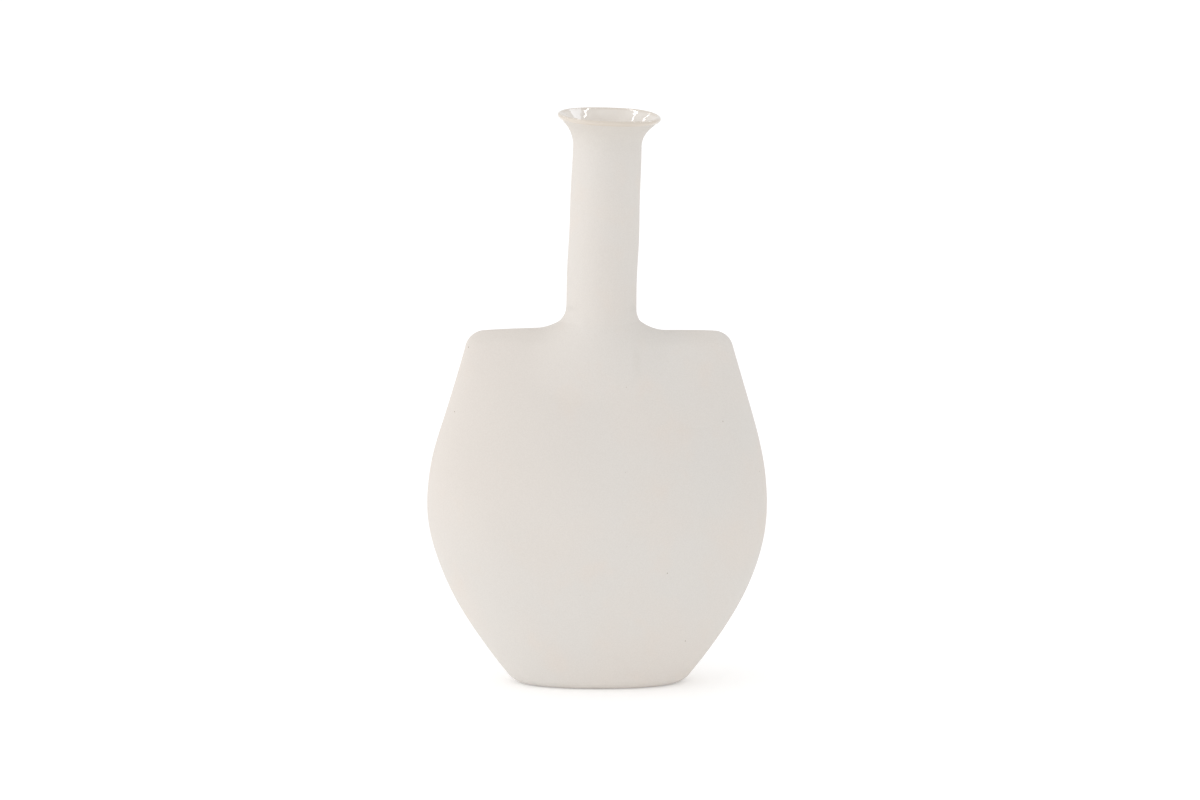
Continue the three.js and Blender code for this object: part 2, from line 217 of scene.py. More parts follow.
class ClayShape:
    """The vase's outer surface, as distances that are negative inside the clay."""

    def __init__(self, scene):
        self.body = scene.vase_body
        self.neck = scene.vase_neck
        self.shoulder_round = self.body.shoulder_depth / 2 - self.body.shoulder_flat

    def eased_half(self, z, belly, base, shoulder):
        """Half a width or depth at a height: fullest at the belly, easing to the base and the shoulder."""
        body = self.body
        above = z > body.belly_height
        rise = (z - body.belly_height) / (body.shoulder_height - body.belly_height)
        t = np.where(above, rise, (body.belly_height - z) / body.belly_height)
        fullness = np.where(above, body.fullness_above, body.fullness_below)
        ease = (1 + fullness) * t * t / (1 + fullness * t * t)
        return (belly + (np.where(above, shoulder, base) - belly) * ease) / 2

    def half_width(self, z):
        return self.eased_half(z, self.body.belly_width, self.body.base_width, self.body.shoulder_width)

    def half_depth(self, z):
        return self.eased_half(z, self.body.belly_depth, self.body.base_depth, self.body.shoulder_depth)

    def side(self, points):
        """Distance to the body's sides, whose level sections are superellipses."""
        body, step = self.body, 1e-5
        z = points[..., 2]
        drift = body.sway * smoothstep(abs(z - body.belly_height), 0, body.belly_width / 3)
        x, y = abs(points[..., 0] - drift), abs(points[..., 1])
        w, d = self.half_width(z), self.half_depth(z)
        w_slope = (self.half_width(z + step) - w) / step
        d_slope = (self.half_depth(z + step) - d) / step
        a = (x / w) ** (body.squareness - 1)
        b = (y / d) ** (body.squareness - 1)
        total = a * x / w + b * y / d
        radius = total ** (1 / body.squareness)
        z_slope = a * x * w_slope / w**2 + b * y * d_slope / d**2
        slope = np.sqrt((a / w) ** 2 + (b / d) ** 2 + z_slope**2) * radius / total
        return (radius - 1) / slope

    def shoulder(self, x):
        """Height of the shoulders. The left one climbs a little, from its corner to the neck."""
        body, neck = self.body, self.neck
        climb = (x + body.shoulder_width / 2) / (body.shoulder_width - neck.width) * 2
        rise = body.left_rise * np.clip(climb, 0, 1) * smoothstep(-x, -neck.width / 2, neck.width / 2)
        return body.shoulder_height + rise

    def neck_x(self, z):
        kick = self.neck.lip_offset * smoothstep(z, LIP_BASE, LIP_BASE + self.neck.flare_height)
        return self.neck.root_x + self.neck.lean * (z - self.body.shoulder_height) + kick

    def neck_radius(self, z):
        """The neck narrows a little towards the lip, and thins out where it is sunk in the body."""
        taper = self.neck.taper * smoothstep(z, COLLAR_TOP, LIP_BASE)
        sunk = smoothstep(self.body.shoulder_height - z, self.neck.swell_depth / 2, 2 * self.neck.swell_depth)
        return self.neck.width / 2 * (1 - 2 * sunk) - taper

    def neck_side(self, points):
        x, y, z = np.moveaxis(points, -1, 0)
        top = self.body.shoulder_height + self.neck.swell_start
        down = np.clip((top - z) / self.neck.swell_depth, 0, 1)
        spread = 1 + self.neck.swell_spread * down * (2 - down)
        return np.hypot((x - self.neck_x(z)) / spread, y) - self.neck_radius(z)

    def outside(self, points):
        topped = rounded_both(self.side(points), points[..., 2] - self.shoulder(points[..., 0]),
                              self.shoulder_round)
        body = rounded_both(topped, -points[..., 2], self.body.base_round)
        return rounded_either(body, self.neck_side(points), self.neck.fillet)


def rounded_both(a, b, radius):
    """The overlap of two solids, with its edge rounded over."""
    corner = np.hypot(np.maximum(radius + a, 0), np.maximum(radius + b, 0))
    return np.minimum(-radius, np.maximum(a, b)) + corner


def rounded_either(a, b, radius):
    """Two solids joined, with a fillet where they meet."""
    corner = np.hypot(np.maximum(radius - a, 0), np.maximum(radius - b, 0))
    return np.maximum(radius, np.minimum(a, b)) - corner


def slope_of(distance, points):
    """The direction in which a distance grows, at each point."""
    step = 5e-6
    nudges = np.eye(3) * step
    return np.stack([(distance(points + n) - distance(points - n)) / (2 * step) for n in nudges], axis=-1)


def settled(distance, points, level, lift):
    """Moves points down the slope of a distance to a level. Where lift is 0 they keep their height."""
    rounds = 16
    start = distance(points)
    for i in range(1, rounds + 1):
        target = start + (level - start) * min(1.0, 2 * i / rounds)
        slope = slope_of(distance, points)
        along = slope * np.stack([np.ones_like(lift), np.ones_like(lift), lift], axis=-1)
        reach = (distance(points) - target) / np.sum(slope * along, axis=-1)
        points = points - along * reach[..., None]
    return points


def waver(points, hand):
    """How far a maker's hands leave the clay off its drawn shape: a few long, low waves."""
    rng = np.random.default_rng(hand.seed)
    # Waves out of step partly cancel, which the boost makes up for
    count, boost = 9, 1.7
    shift = np.zeros_like(points)
    for _ in range(count):
        heading, push = rng.normal(size=3), rng.normal(size=3)
        wave = rng.uniform(hand.shortest_wave, hand.longest_wave)
        heading *= 2 * math.pi / wave / np.linalg.norm(heading)
        push *= hand.wave_height * boost / math.sqrt(count) / np.linalg.norm(push)
        shift += push * np.sin(points @ heading + rng.uniform(0, 2 * math.pi))[..., None]
    stands = smoothstep(points[..., 2], 0, PLUG_TOP)[..., None]
    return shift * stands


# ---- meshes


def ring_angles():
    """Across is 1 at +X and -1 at -X. Forward is 0 exactly on the seam between the two walls."""
    turn = np.arange(COLUMNS) * 2 * math.pi / COLUMNS
    forward = np.sin(turn)
    forward[[0, COLUMNS // 2]] = 0
    return np.cos(turn), forward


def mesh_object(name, points, faces=(), materials=(), edges=()):
    """An object in the scene with that mesh. The materials are given by name."""
    mesh = bpy.data.meshes.new(name)
    mesh.from_pydata(points, edges, faces)
    for material in materials:
        mesh.materials.append(finish_named(material))
    return in_scene(name, mesh)


def in_scene(name, data):
    made = bpy.data.objects.new(name, data)
    bpy.context.scene.collection.objects.link(made)
    return made


def numbers(items, name, width, kind=float):
    """One attribute of all the vertices, loops or faces of a mesh, a row for each."""
    found = np.zeros(len(items) * width, kind)
    items.foreach_get(name, found)
    return found.reshape(-1, width)


def check_closed(piece):
    """Stops the script if a piece isn't closed, or if its faces point in."""
    mesh = piece.data
    uses = np.bincount(numbers(mesh.loops, "edge_index", 1, int).ravel(), minlength=len(mesh.edges))
    if (uses != 2).any():
        raise RuntimeError(f"{piece.name} isn't closed: {(uses != 2).sum()} of its edges are open")
    mesh.calc_loop_triangles()
    corners = numbers(mesh.loop_triangles, "vertices", 3, int)
    a, b, c = np.moveaxis(numbers(mesh.vertices, "co", 3)[corners], 1, 0)
    if np.sum(np.cross(a, b) * c) <= 0:
        raise RuntimeError(f"{piece.name} is inside out")


def smooth(mesh):
    mesh.shade_smooth()
    mesh.set_sharp_from_angle(angle=SHARP_ANGLE)


def shape_by_hand(mesh, hand):
    """Gives every piece the same waves, so that pieces that meet still meet."""
    places = numbers(mesh.vertices, "co", 3)
    mesh.vertices.foreach_set("co", (places + waver(places, hand)).ravel())
    mesh.update()


def bands(rows, columns, ring, loop):
    """Four-sided faces between neighbouring rows of points, as an array of corner numbers."""
    across = np.arange(columns if ring else columns - 1)
    along = np.arange(rows if loop else rows - 1)
    here = along[:, None] * columns
    there = (along[:, None] + 1) % rows * columns
    beside = (across + 1) % columns
    quads = np.stack([here + across, here + beside, there + beside, there + across], axis=-1)
    return quads.reshape(-1, 4)


def finish_piece(piece, node):
    check_closed(piece)
    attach(piece, BODY)
    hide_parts(node)


# ---- materials


def add(tree, kind, inputs=None, **settings):
    """Adds a node. Inputs gives each socket, by name or number, a value or another node's output."""
    made = tree.nodes.new(kind)
    for name, value in settings.items():
        setattr(made, name, value)
    for key, value in (inputs or {}).items():
        if isinstance(value, bpy.types.NodeSocket):
            tree.links.new(value, made.inputs[key])
        else:
            made.inputs[key].default_value = value
    return made


def pattern(tree, place, millimetres, detail=2.0, roughness=0.5):
    """Soft noise whose lumps are about that many millimetres across."""
    return add(tree, "ShaderNodeTexNoise", {
        "Vector": place, "Scale": 1 / (millimetres * MM), "Detail": detail, "Roughness": roughness,
    }).outputs["Fac"]


def ramp(tree, value, low, high, to_low=0.0, to_high=1.0):
    return add(tree, "ShaderNodeMapRange", {
        "Value": value, "From Min": low, "From Max": high, "To Min": to_low, "To Max": to_high,
    }, interpolation_type="SMOOTHSTEP").outputs["Result"]


def mixed(tree, share_of_second, first, second):
    """Two colours mixed. A colour socket's numbers on the Mix node are 6 and 7, and 2 is its result."""
    first, second = (c if isinstance(c, bpy.types.NodeSocket) else (*c, 1.0) for c in (first, second))
    return add(tree, "ShaderNodeMix", {0: share_of_second, 6: first, 7: second}, data_type="RGBA").outputs[2]


def calculate(tree, operation, *values):
    return add(tree, "ShaderNodeMath", dict(enumerate(values)), operation=operation).outputs[0]


def product(tree, first, *others):
    for other in others:
        first = calculate(tree, "MULTIPLY", first, other)
    return first


def spread(tree, value, middle):
    """How far a value is from a middle one, either way."""
    return calculate(tree, "ABSOLUTE", calculate(tree, "SUBTRACT", value, middle))


def place_of(tree):
    """Where on the piece a point is: the whole vector, and its X, Y and Z."""
    place = add(tree, "ShaderNodeTexCoord").outputs["Object"]
    return place, add(tree, "ShaderNodeSeparateXYZ", {"Vector": place}).outputs


def on_front(tree, spot):
    """1 on the front of the vase and 0 on its back."""
    return ramp(tree, spot["Y"], -2 * MM, 0.0, 1.0, 0.0)


def tool_mark(tree, spot):
    """A faint shallow curve, like a rib's mark, on the right of the front: 17 mm long and 1 mm wide."""
    middle_x, top_z, radius, half_length, half_width = 39.6 * MM, 111.2 * MM, 40 * MM, 8.5 * MM, 0.5 * MM
    x = calculate(tree, "SUBTRACT", spot["X"], middle_x)
    z = calculate(tree, "SUBTRACT", spot["Z"], top_z - radius)
    away = calculate(tree, "SQRT", calculate(tree, "ADD", product(tree, x, x), product(tree, z, z)))
    width = ramp(tree, spread(tree, away, radius), 0.0, half_width, 1.0, 0.0)
    ends = ramp(tree, spread(tree, x, 0.0), half_length * 0.6, half_length, 1.0, 0.0)
    above = ramp(tree, z, 0.0, radius * 0.5)
    return product(tree, width, ends, above, on_front(tree, spot))


def crease_shade(tree, spot):
    """Painted shade: a faint upright streak on the front, in the crease under the right of the neck, where
    the light from the left doesn't reach: 18 mm long and 5 mm wide.
    """
    middle_x, middle_z, half_width, half_length = 16.5 * MM, 138 * MM, 2.6 * MM, 9 * MM
    across = ramp(tree, spread(tree, spot["X"], middle_x), 0.0, half_width, 1.0, 0.0)
    along = ramp(tree, spread(tree, spot["Z"], middle_z), 0.0, half_length, 1.0, 0.0)
    return product(tree, across, along, on_front(tree, spot))


def matte_bisque(tree, finish):
    """White stoneware bisque, sponged smooth: dry and chalky to the eye, with a very fine grain,
    slow drifts between cool white and warm white, warmer at the upper left, and no shine."""
    place, spot = place_of(tree)
    drift = ramp(tree, pattern(tree, place, 34, detail=1.5), 0.35, 0.65, 0.0, 0.3)
    blush = ramp(tree, pattern(tree, place, 13, detail=3.0), 0.52, 0.74, 0.0, 0.25)
    flame = product(tree, ramp(tree, spot["X"], -60 * MM, 45 * MM, 0.45, 0.0),
                    ramp(tree, spot["Z"], 35 * MM, 95 * MM, 0.2, 1.0))
    warmth = calculate(tree, "MAXIMUM", calculate(tree, "ADD", drift, blush), flame)
    base = mixed(tree, warmth, finish.clay_light, finish.clay_warm)
    # Painted shade: the clay is made darker just under the lip, where the flare faces down, and in one streak
    # in the crease to the right of the neck
    shade_under_lip = ramp(tree, spot["Z"], 222 * MM, 236 * MM, 0.0, 0.32)
    painted_shade = calculate(tree, "MAXIMUM", shade_under_lip, product(tree, crease_shade(tree, spot), 0.15))
    base = mixed(tree, painted_shade, base, finish.clay_dry_and_shade)
    # Fired grain is 0.1 to 0.3 mm; it is drawn at 0.55 mm so that it shows
    grain = pattern(tree, place, 0.55, detail=3.0, roughness=0.6)
    grained = mixed(tree, ramp(tree, grain, 0.3, 0.7, 0.06, 0.0), base, finish.iron)
    mark = tool_mark(tree, spot)
    marked = mixed(tree, product(tree, mark, 0.06), grained, finish.clay_dry_and_shade)
    # A sponge leaves soft smears a few millimetres long
    sponge = pattern(tree, place, 4.5, detail=2.0)
    height = calculate(tree, "ADD", product(tree, grain, 0.25), sponge)
    height = calculate(tree, "SUBTRACT", height, product(tree, mark, 1.5))
    bump = add(tree, "ShaderNodeBump", {"Strength": 0.35, "Distance": 0.06 * MM, "Height": height})
    return {
        "Base Color": marked,
        "Roughness": ramp(tree, sponge, 0.3, 0.7, 0.78, 0.9),
        "Specular IOR Level": 0.3,
        "Normal": bump.outputs["Normal"],
    }


def dry_foot(tree, finish):
    """Bare wiped clay under the foot: greyer and coarser than the walls, with grit that catches the table."""
    place, _ = place_of(tree)
    smear = ramp(tree, pattern(tree, place, 8, detail=3.0), 0.35, 0.65)
    base = mixed(tree, smear, finish.clay_dry_and_shade, finish.clay_warm)
    grit = pattern(tree, place, 0.7, detail=3.0, roughness=0.65)
    gritty = mixed(tree, ramp(tree, grit, 0.28, 0.45, 0.3, 0.0), base, finish.iron)
    bump = add(tree, "ShaderNodeBump", {"Strength": 0.6, "Distance": 0.08 * MM, "Height": grit})
    return {
        "Base Color": gritty,
        "Roughness": 0.92,
        "Specular IOR Level": 0.25,
        "Normal": bump.outputs["Normal"],
    }


def gloss_glaze(tree, finish):
    """Clear-fired gloss glaze over warm clay: wet and bright, with a soft waver in its reflections,
    breaking to a warm line where it runs thin on the edge of the lip."""
    place, _ = place_of(tree)
    thin = add(tree, "ShaderNodeAttribute", attribute_name="glaze_thin").outputs["Fac"]
    pooled = ramp(tree, pattern(tree, place, 7, detail=2.0), 0.35, 0.65, 0.0, 0.18)
    toned = calculate(tree, "MAXIMUM", pooled, thin)
    base = mixed(tree, toned, finish.glaze_body, finish.glaze_edge)
    ripple = pattern(tree, place, 5, detail=1.0)
    bump = add(tree, "ShaderNodeBump", {"Strength": 0.6, "Distance": 0.3 * MM, "Height": ripple})
    return {
        "Base Color": base,
        "Roughness": ramp(tree, ripple, 0.3, 0.7, 0.03, 0.07),
        "IOR": 1.52,
        "Normal": bump.outputs["Normal"],
    }


def iron_speck(tree, finish):
    """Iron grains burnt through the clay: soft brown freckles, matt like the clay, darker in the middle."""
    place, _ = place_of(tree)
    burnt = ramp(tree, pattern(tree, place, 2.5), 0.35, 0.65, 0.0, 0.5)
    return {
        "Base Color": mixed(tree, burnt, finish.iron, finish.clay_dry_and_shade),
        "Roughness": 0.8,
        "Specular IOR Level": 0.3,
    }


def studio_floor(tree, finish):
    """Matt paper over a lit table: an even, pale surface with the faintest tooth and a weak glow."""
    place, _ = place_of(tree)
    tooth = ramp(tree, pattern(tree, place, 3), 0.2, 0.8, 0.0, 0.02)
    return {
        "Base Color": mixed(tree, tooth, finish.floor, finish.clay_light),
        "Roughness": 0.95,
        "Specular IOR Level": 0.0,
        "Emission Color": (1, 1, 1, 1),
        "Emission Strength": FLOOR_GLOW,
    }


# Each gives the inputs of its material's one shader
MATERIALS = {
    "matte_bisque": matte_bisque,
    "dry_foot_clay": dry_foot,
    "clear_gloss_glaze": gloss_glaze,
    "iron_speck": iron_speck,
    "studio_paper": studio_floor,
}


def finish_named(name):
    """The material of that name, made when it is first asked for."""
    material = bpy.data.materials.get(name)
    if material is None:
        material = bpy.data.materials.new(name)
        material.use_nodes = True
        tree = material.node_tree
        tree.nodes.clear()
        shader = add(tree, "ShaderNodeBsdfPrincipled", MATERIALS[name](tree, bpy.context.scene.vase_finish))
        add(tree, "ShaderNodeOutputMaterial", {"Surface": shader.outputs["BSDF"]})
    return material


# ---- body walls


def wall_plan(shape):
    """Where each row of the wall runs: its reach at the sides, and its height there and in the middle."""
    body, neck, round_ = shape.body, shape.neck, shape.shoulder_round
    corner_z = body.shoulder_height - round_
    sides = np.linspace(FOOT_TOP, corner_z, SIDE_ROWS + 1)
    plan = [(shape.half_width(z), z, z) for z in sides]

    corner_x = shape.half_width(body.shoulder_height) - round_
    turns = np.linspace(0, math.pi / 2, CORNER_ROWS + 1)[1:]
    corner = [(corner_x + round_ * math.cos(t), corner_z + round_ * math.sin(t)) for t in turns]
    fillet_x = neck.width / 2 + neck.fillet
    ledge = [(x, body.shoulder_height) for x in np.linspace(corner_x, fillet_x, LEDGE_ROWS + 1)[1:]]
    turns = np.linspace(0, math.pi / 2, FILLET_ROWS + 1)[1:]
    fillet = [(fillet_x - neck.fillet * math.sin(t), body.shoulder_height + neck.fillet * (1 - math.cos(t)))
              for t in turns]
    edge = corner + ledge + fillet
    seat = SPIGOT_FOOT - body.joint_gap
    middles = np.linspace(corner_z, seat, len(edge) + 1)[1:]
    plan += [(reach, side, middle) for (reach, side), middle in zip(edge, middles)]
    return np.array(plan, float)


def round_row(shape, radius, z):
    """A round row of the neck's tube."""
    across, forward = ring_angles()
    return np.stack([shape.neck_x(z) + radius * across, radius * forward, np.full(COLUMNS, z)], axis=-1)


def wall_skins(shape):
    """Rows of the wall's outer and inner skins, from the foot to the foot of the collar."""
    reach, side, middle = np.moveaxis(wall_plan(shape)[:, None, :], -1, 0)
    across, forward = ring_angles()
    body, neck = shape.body, shape.neck
    corner_z = body.shoulder_height - shape.shoulder_round
    lift = smoothstep(side, body.belly_height, corner_z) * np.ones(COLUMNS)
    centre = shape.neck_x(middle) * smoothstep(middle, corner_z, body.shoulder_height)
    z = side + (middle - side) * forward**2
    depth = np.maximum(shape.half_depth(z), neck.width / 2 * forward**2)
    start = np.stack([centre + reach * across, depth * forward, z], axis=-1)
    outer = settled(shape.outside, start, 0.0, lift)
    inner = settled(shape.outside, outer, -body.wall, lift)
    return outer, inner


def wall_halves():
    """The front and the back wall: two half tubes that meet along the side seams."""
    scene = bpy.context.scene
    shape, hand = ClayShape(scene), scene.vase_handwork
    outer, inner = wall_skins(shape)
    body = shape.body
    seat = SPIGOT_FOOT - body.joint_gap
    bore = shape.neck_radius(COLLAR_TOP) - body.wall / 2 + body.joint_gap / 2
    collar = np.linspace(seat, COLLAR_TOP, COLLAR_ROWS + 1)[1:]
    outer = np.concatenate([outer, [round_row(shape, shape.neck_radius(z), z) for z in collar]])
    counterbore = np.linspace(seat, COLLAR_TOP, COLLAR_ROWS)
    inner = np.concatenate([inner, [round_row(shape, bore, z) for z in counterbore]])
    loop = np.concatenate([outer, inner[::-1]])
    normals = slope_of(shape.outside, outer)
    normals -= slope_of(lambda p: np.sum(waver(p, hand) * normals, axis=-1), outer)
    normals /= np.linalg.norm(normals, axis=-1, keepdims=True)
    loop = loop + waver(loop, hand)
    return [wall_half(name, first, loop, normals)
            for name, first in (("back_wall_clay", 0), ("front_wall_clay", COLUMNS // 2))]


def wall_half(name, first, loop, normals):
    take = np.arange(first, first + COLUMNS // 2 + 1) % COLUMNS
    points, rows, columns = loop[:, take], len(loop), len(take)
    outer_rows = len(normals)
    skin = bands(rows, columns, ring=False, loop=True)
    seams = []
    for side, turn in ((0, 1), (columns - 1, -1)):
        out = np.arange(outer_rows - 1) * columns + side
        back = (rows - 1 - np.arange(outer_rows - 1)) * columns + side
        ladder = np.stack([out, out + columns, back - columns, back], axis=-1)
        seams.append(ladder[:, ::turn])
    faces = np.concatenate([skin, *seams])
    piece = mesh_object(name, points.reshape(-1, 3), faces.tolist(), ["matte_bisque", "clear_gloss_glaze"])
    mesh = piece.data
    mesh.shade_smooth()

    # The outer skin gets the drawn surface's own normals, so that no seam shows between the pieces.
    # The inner skin, from the foot up to the collar's seat, is glazed.
    face_row = np.full(len(faces), -1)
    face_row[: len(skin)] = np.arange(len(skin)) // (columns - 1)
    outside = (face_row >= 0) & (face_row < outer_rows - 1)
    inside = (face_row >= outer_rows + COLLAR_ROWS) & (face_row < rows - 1)
    mesh.polygons.foreach_set("material_index", inside.astype(np.int32))
    corner_normals = np.repeat(numbers(mesh.polygon_normals, "vector", 3), 4, axis=0)
    inner_normals = vertex_normals(points, outer_rows + COLLAR_ROWS)
    corners = faces.ravel()
    flat_outside, flat_inside = np.repeat(outside, 4), np.repeat(inside, 4)
    corner_normals[flat_outside] = normals[:, take].reshape(-1, 3)[corners[flat_outside]]
    corner_normals[flat_inside] = inner_normals.reshape(-1, 3)[corners[flat_inside]]
    mesh.normals_split_custom_set(corner_normals.tolist())
    return piece


def vertex_normals(points, first):
    """Normals of a skin from the way its rows and columns run, for the rows from the first on."""
    along = np.gradient(points, axis=0)
    across = np.gradient(points, axis=1)
    along[first] = points[first + 1] - points[first]
    normals = np.cross(across, along)
    return normals / np.maximum(np.linalg.norm(normals, axis=-1, keepdims=True), 1e-12)


# ---- foot


def side_ring(shape, z, level):
    across, forward = ring_angles()
    start = np.stack([shape.half_width(z) * across, shape.half_depth(z) * forward, np.full(COLUMNS, z)], -1)
    return settled(shape.side, start, level, np.zeros(COLUMNS))


def foot_slab():
    """The base slab: a rounded edge on the table, straight up to the walls, and a plug between them."""
    scene = bpy.context.scene
    shape, hand = ClayShape(scene), scene.vase_handwork
    body = shape.body
    turns = np.linspace(0, math.pi / 2, FOOT_ROWS + 1)
    rings = [side_ring(shape, body.base_round * (1 - math.cos(t)), body.base_round * (math.sin(t) - 1))
             for t in turns]
    rings += [side_ring(shape, z, 0.0) for z in np.linspace(body.base_round, FOOT_TOP, RISE_ROWS + 1)[1:]]
    plug = -body.wall - body.joint_gap
    rings += [side_ring(shape, z, plug) for z in (FOOT_TOP, PLUG_TOP)]
    shrink = np.linspace(1, 0, DISC_ROWS + 1)[1:-1]
    under = [rings[0] * [s, s, 1] for s in shrink[::-1]]
    over = [rings[-1] * [s, s, 1] for s in shrink]
    rings = np.array([*under, *rings, *over])
    count = len(rings)
    points = np.concatenate([rings.reshape(-1, 3), [[0, 0, 0], [0, 0, PLUG_TOP]]])
    points = points + waver(points, hand)
    faces = bands(count, COLUMNS, ring=True, loop=False).tolist()
    first, last = count * COLUMNS, (count - 1) * COLUMNS
    for j in range(COLUMNS):
        beside = (j + 1) % COLUMNS
        faces.append([first, beside, j])
        faces.append([first + 1, last + j, last + beside])
    piece = mesh_object("foot_clay", points, faces, ["matte_bisque", "dry_foot_clay", "clear_gloss_glaze"])
    smooth(piece.data)
    on_table, on_plug = 0.02 * MM, PLUG_TOP - 0.5 * MM
    for face in piece.data.polygons:
        if face.center.z < on_table:
            face.material_index = 1
        elif face.center.z > on_plug:
            face.material_index = 2
    return piece


# ---- turned pieces: neck, lip and glaze


def new_tree(name, inputs):
    """A geometry node tree with named inputs. Returns the tree, its Group Input node and socket names."""
    tree = bpy.data.node_groups.new(name, "GeometryNodeTree")
    tree.interface.new_socket(name="Geometry", in_out="INPUT", socket_type="NodeSocketGeometry")
    tree.interface.new_socket(name="Geometry", in_out="OUTPUT", socket_type="NodeSocketGeometry")
    for label, kind in inputs.items():
        tree.interface.new_socket(name=label, in_out="INPUT", socket_type=f"NodeSocket{kind}")
    return tree, add(tree, "NodeGroupInput").outputs


def finish_tree(tree, geometry, material):
    real = add(tree, "GeometryNodeRealizeInstances", {"Geometry": geometry}).outputs["Geometry"]
    coated = add(tree, "GeometryNodeSetMaterial", {"Geometry": real, "Material": material})
    add(tree, "NodeGroupOutput", {"Geometry": coated.outputs["Geometry"]})
    return tree


def run_tree(piece, tree, values):
    """Runs a tree on a piece, with its inputs given by label, and leaves a plain mesh."""
    modifier = piece.modifiers.new(tree.name, "NODES")
    modifier.node_group = tree
    for socket in tree.interface.items_tree:
        if socket.in_out == "INPUT" and socket.name in values:
            modifier[socket.identifier] = values[socket.name]
    evaluated = piece.evaluated_get(bpy.context.evaluated_depsgraph_get())
    made = bpy.data.meshes.new_from_object(evaluated)
    piece.modifiers.remove(modifier)
    old, piece.data = piece.data, made
    made.name = piece.name
    bpy.data.meshes.remove(old)
    return piece


def point_place(tree):
    """The X, Y and Z of each point, at the stage of the tree where they are asked for."""
    place = add(tree, "GeometryNodeInputPosition").outputs[0]
    return add(tree, "ShaderNodeSeparateXYZ", {"Vector": place}).outputs


def turned_tree():
    """Turns a profile into a ring round the neck's line, then leans, offsets and tilts it.

    The profile is a closed loop of edges drawn in the XZ plane: X is the radius and Z the height.
    """
    tree, given = new_tree("Turned ring", {
        "Segments": "Int", "Wheel Radius": "Float", "Lean": "Float", "Lean Height": "Float",
        "Root Offset": "Float", "Flare Bottom": "Float", "Flare Top": "Float", "Lip Offset": "Float",
        "Lip Tilt": "Float", "Material": "Material",
    })
    # Laid flat, with its radius measured from the wheel's, so that the sweep stands it up again
    drawn = point_place(tree)
    flat = add(tree, "ShaderNodeCombineXYZ", {
        "X": calculate(tree, "SUBTRACT", drawn["X"], given["Wheel Radius"]),
        "Y": product(tree, drawn["Z"], -1.0),
    })
    laid = add(tree, "GeometryNodeSetPosition", {"Geometry": given["Geometry"], "Position": flat.outputs[0]})
    profile = add(tree, "GeometryNodeMeshToCurve", {"Mesh": laid.outputs["Geometry"]})
    wheel = add(tree, "GeometryNodeCurvePrimitiveCircle",
                {"Resolution": given["Segments"], "Radius": given["Wheel Radius"]})
    turned = add(tree, "GeometryNodeCurveToMesh", {
        "Curve": wheel.outputs["Curve"], "Profile Curve": profile.outputs["Curve"],
    })
    outward = add(tree, "GeometryNodeFlipFaces", {"Mesh": turned.outputs["Mesh"]})
    spot = point_place(tree)
    kick = ramp(tree, spot["Z"], given["Flare Bottom"], given["Flare Top"], 0.0, given["Lip Offset"])
    tilt = ramp(tree, spot["Z"], given["Flare Bottom"], given["Flare Top"], 0.0, given["Lip Tilt"])
    height = calculate(tree, "SUBTRACT", spot["Z"], given["Lean Height"])
    leaning = calculate(tree, "MULTIPLY_ADD", height, given["Lean"], given["Root Offset"])
    dip = product(tree, spot["X"], tilt, -1.0)
    shift = add(tree, "ShaderNodeCombineXYZ", {"X": calculate(tree, "ADD", leaning, kick), "Z": dip})
    placed = add(tree, "GeometryNodeSetPosition",
                 {"Geometry": outward.outputs["Mesh"], "Offset": shift.outputs[0]})
    return finish_tree(tree, placed.outputs["Geometry"], given["Material"])


def turned_piece(name, profile, material, thin=None):
    """A ring turned from a closed profile of (radius, height) points, then shaped by hand."""
    scene = bpy.context.scene
    body, neck = scene.vase_body, scene.vase_neck
    points = [(radius, 0.0, z) for radius, z in profile]
    piece = mesh_object(name, points, edges=[(i, (i + 1) % len(points)) for i in range(len(points))])
    if thin is not None:
        piece.data.attributes.new("glaze_thin", "FLOAT", "POINT").data.foreach_set("value", thin)
    tree = bpy.data.node_groups.get("Turned ring") or turned_tree()
    run_tree(piece, tree, {
        "Segments": COLUMNS, "Wheel Radius": neck.width / 2, "Lean": neck.lean,
        "Lean Height": body.shoulder_height, "Root Offset": neck.root_x, "Flare Bottom": LIP_BASE,
        "Flare Top": LIP_BASE + neck.flare_height, "Lip Offset": neck.lip_offset, "Lip Tilt": neck.lip_tilt,
        "Material": finish_named(material),
    })
    shape_by_hand(piece.data, scene.vase_handwork)
    smooth(piece.data)
    return piece


def neck_profile(shape):
    """Up the outside of the neck, down the seat for the lip, down the bore and round the spigot."""
    wall, gap = shape.body.wall, shape.body.joint_gap
    heights = np.linspace(COLLAR_TOP, LIP_BASE, NECK_ROWS + 1)
    seat = LIP_SPIGOT_FOOT - gap
    lip_bore = shape.neck_radius(LIP_BASE) - wall / 2 + gap / 2
    spigot = shape.neck_radius(COLLAR_TOP) - wall / 2 - gap / 2
    bore = [z for z in heights[::-1] if COLLAR_TOP < z < seat]
    return [
        *[(shape.neck_radius(z), z) for z in heights],
        (lip_bore, LIP_BASE), (lip_bore, seat),
        *[(shape.neck_radius(z) - wall, z) for z in [seat, *bore, COLLAR_TOP, SPIGOT_FOOT]],
        (spigot, SPIGOT_FOOT), (spigot, COLLAR_TOP),
    ]


def arc(centre, radius, first, last, count):
    turns = np.linspace(first, last, count + 1)
    out = np.stack([np.cos(turns), np.sin(turns)], axis=-1)
    return np.array(centre) + radius * out, out


